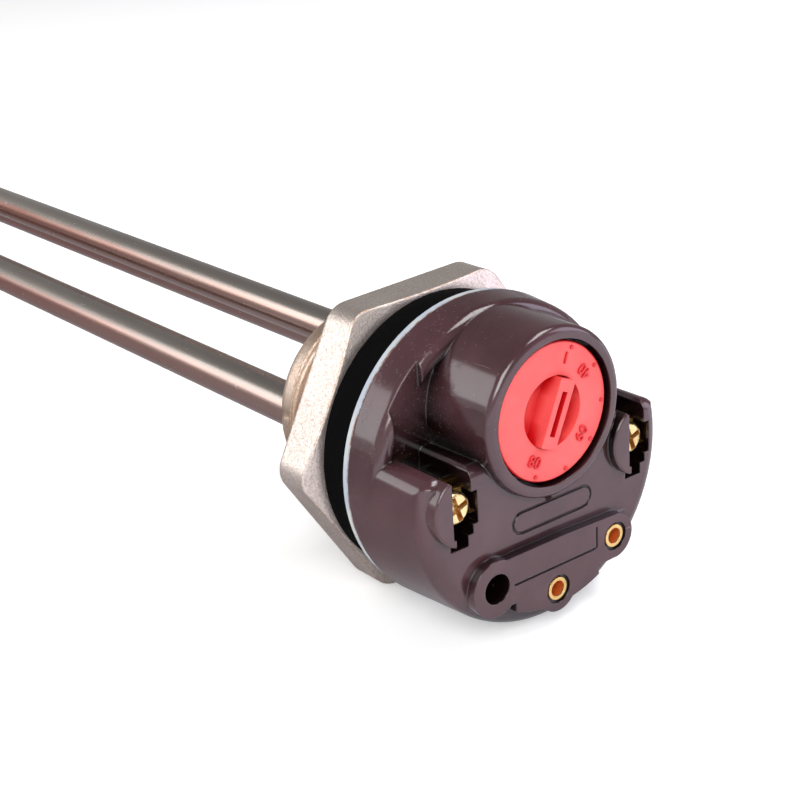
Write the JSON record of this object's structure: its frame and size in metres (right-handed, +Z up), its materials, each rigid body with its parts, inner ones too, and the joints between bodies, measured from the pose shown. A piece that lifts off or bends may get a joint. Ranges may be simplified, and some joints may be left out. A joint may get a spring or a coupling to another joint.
{
  "type": "immersion heating element with rod temperature control",
  "caption": "Screw-in immersion heater: hexagon plug with pipe thread, hairpin heating tube, sensor pocket, and a moulded temperature-control head with dial and terminals.",
  "frame": {"origin": "on the thread's axis, in the plane where the hexagon seats on the tank's boss", "axes": "+Y along the thread into the tank, +Z up through the dial, +X to the right seen from the front"},
  "size_m": [0.062, 0.34, 0.0576],
  "materials": {
    "nickel_plated_casting": "satin nickel plate over cast brass, fine grit-blasted grain",
    "nickel_plated_tube": "bright nickel plate over drawn tube",
    "nickel_plated_pocket": "bright nickel plate over drawn tube",
    "magnesia_powder": "pressed white powder",
    "resistance_wire": "dull drawn wire",
    "copper_stem": "drawn copper",
    "turned_brass": "turned brass",
    "invar_steel": "drawn nickel steel",
    "black_rubber": "matte black moulded rubber",
    "pale_fibre": "pale smooth insulating sheet",
    "brown_phenolic": "glossy dark-brown moulded phenolic",
    "coral_thermoplastic": "satin coral-red moulded plastic",
    "pressed_brass": "pressed brass strip",
    "spring_steel": "pressed spring steel",
    "spring_bronze": "rolled spring bronze",
    "steatite": "fired white ceramic",
    "brass_screw": "bright brass plate",
    "drawn_brass": "drawn brass tube"
  },
  "bodies": {
    "head": {"hex_plug": "nickel_plated_casting", "heating_sheath": "nickel_plated_tube", "magnesia_fill": "magnesia_powder", "resistance_coil": "resistance_wire", "pocket_tube": "nickel_plated_pocket", "stem_tube": "copper_stem", "stem_plug": "turned_brass", "spacer_ring": "black_rubber", "insulating_disc": "pale_fibre", "mechanism_carrier": "brown_phenolic", "housing": "brown_phenolic", "lever_bracket": "pressed_brass", "lever_pin": "invar_steel", "fixed_contact": "pressed_brass", "supply_strip": "pressed_brass", "terminal_pin_left": "invar_steel", "end_bush_left": "steatite", "pin_socket_left": "turned_brass", "terminal_bar_left": "pressed_brass", "terminal_pin_right": "invar_steel", "end_bush_right": "steatite", "pin_socket_right": "turned_brass", "terminal_bar_right": "pressed_brass", "lamp_socket_right": "drawn_brass", "lamp_strip_right": "pressed_brass", "lamp_socket_lower": "drawn_brass", "lamp_strip_lower": "pressed_brass"},
    "dial_body": {"dial": "coral_thermoplastic", "dial_spindle": "turned_brass"},
    "nut_body": {"adjusting_nut": "turned_brass"},
    "sensor_rod": {"invar_rod": "invar_steel"},
    "rocker": {"switch_lever": "spring_steel", "contact_blade": "spring_bronze"},
    "clamp_left": {"clamp_plate_left": "pressed_brass"},
    "screw_left": {"terminal_screw_left": "brass_screw"},
    "clamp_right": {"clamp_plate_right": "pressed_brass"},
    "screw_right": {"terminal_screw_right": "brass_screw"}
  },
  "joints": [
    {"name": "nut_slide", "type": "slide", "parent": "head", "child": "nut_body", "axis": [0, 1, 0], "range_m": [-0.000447, 0.0000499]},
    {"name": "dial_turn", "type": "hinge", "parent": "head", "child": "dial_body", "pos_m": [0, -0.0386, 0.0122], "axis": [0, -1, 0], "range_deg": [-161, 18]},
    {"name": "rod_slide", "type": "slide", "parent": "head", "child": "sensor_rod", "axis": [0, 1, 0], "range_m": [0, 0.0004]},
    {"name": "lever_tilt", "type": "hinge", "parent": "head", "child": "rocker", "pos_m": [0, -0.0232, 0.0059], "axis": [-1, 0, 0], "range_deg": [0, 3.7]},
    {"name": "clamp_slide_left", "type": "slide", "parent": "head", "child": "clamp_left", "axis": [0, 1, 0], "range_m": [-0.0006, 0.0015]},
    {"name": "screw_turn_left", "type": "hinge", "parent": "clamp_left", "child": "screw_left", "pos_m": [-0.0197, -0.0294, -0.0002], "axis": [0, 1, 0], "range_deg": [-360, 900]},
    {"name": "clamp_slide_right", "type": "slide", "parent": "head", "child": "clamp_right", "axis": [0, 1, 0], "range_m": [-0.0006, 0.0015]},
    {"name": "screw_turn_right", "type": "hinge", "parent": "clamp_right", "child": "screw_right", "pos_m": [0.0215, -0.0294, -0.0002], "axis": [0, 1, 0], "range_deg": [-360, 900]}
  ],
  "couplings": [
    {"joint": "dial_turn", "follows": "nut_slide", "rad_per_m": 6283.2},
    {"joint": "lever_tilt", "follows": "rod_slide", "rad_per_m": 158.73},
    {"joint": "screw_turn_left", "follows": "clamp_slide_left", "rad_per_m": 10472},
    {"joint": "screw_turn_right", "follows": "clamp_slide_right", "rad_per_m": 10472}
  ]
}
